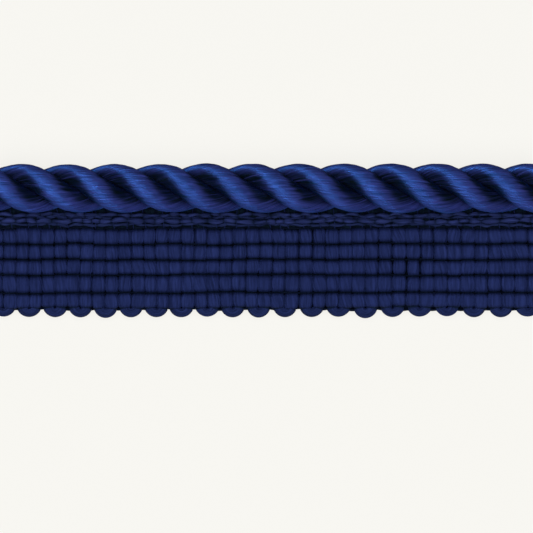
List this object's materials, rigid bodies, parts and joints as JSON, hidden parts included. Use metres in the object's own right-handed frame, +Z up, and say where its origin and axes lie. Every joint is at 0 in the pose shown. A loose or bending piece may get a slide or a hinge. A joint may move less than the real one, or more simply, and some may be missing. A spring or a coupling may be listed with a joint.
{
  "type": "cut length of flanged piping cord",
  "caption": "Short straight cut length of twisted navy piping cord with a ribbed knitted tape along one side, for sewing into a seam.",
  "frame": {"origin": "middle of the footprint, on the surface that the trim lies on", "axes": "+X along the trim, +Y across it from the tape to the cord, +Z up from the surface"},
  "size_m": [0.057, 0.0158, 0.0049],
  "materials": {
    "cord_yarn": "satin filament yarn",
    "tape_yarn": "soft multifilament yarn"
  },
  "bodies": {
    "root": {"cord": "cord_yarn", "tape": "tape_yarn"}
  },
  "joints": []
}
